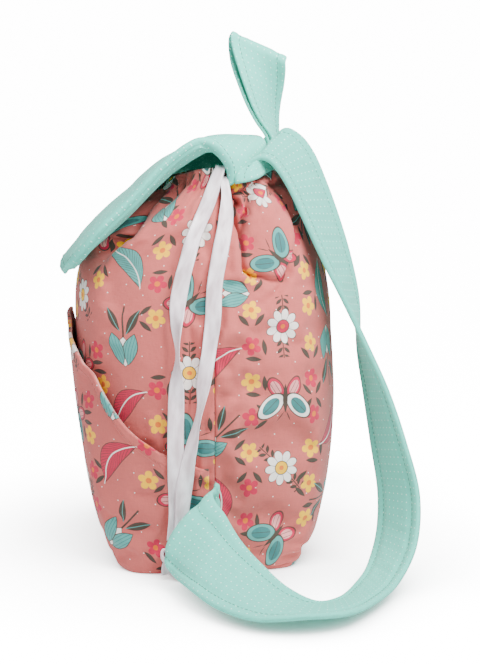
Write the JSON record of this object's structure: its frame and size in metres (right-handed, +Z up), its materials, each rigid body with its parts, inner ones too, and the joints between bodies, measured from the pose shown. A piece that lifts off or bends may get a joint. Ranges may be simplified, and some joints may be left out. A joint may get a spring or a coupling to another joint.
{
  "type": "drawstring backpack",
  "caption": "Soft fabric drawstring backpack standing on a flat base, with a flap over its gathered mouth, a front pocket, shoulder straps and a hanging loop.",
  "frame": {"origin": "centre of the flat underside of the base", "axes": "+Z up, the front with the pocket towards -Y, the wearer's back towards +Y, +X the bag's left side as seen from its front"},
  "size_m": [0.5041, 0.2423, 0.3775],
  "materials": {
    "print_fabric": "matte printed cotton",
    "plain_fabric": "matte cotton with small woven dots",
    "satin_ribbon": "satin"
  },
  "bodies": {
    "root": {"body_front": "print_fabric", "body_back": "print_fabric", "base_panel": "print_fabric", "front_pocket": "print_fabric", "flap": "plain_fabric", "strap_right": "plain_fabric", "strap_left": "plain_fabric", "handle_loop": "plain_fabric", "ribbon_front": "satin_ribbon", "ribbon_back": "satin_ribbon", "ribbon_knot": "satin_ribbon"}
  },
  "joints": []
}
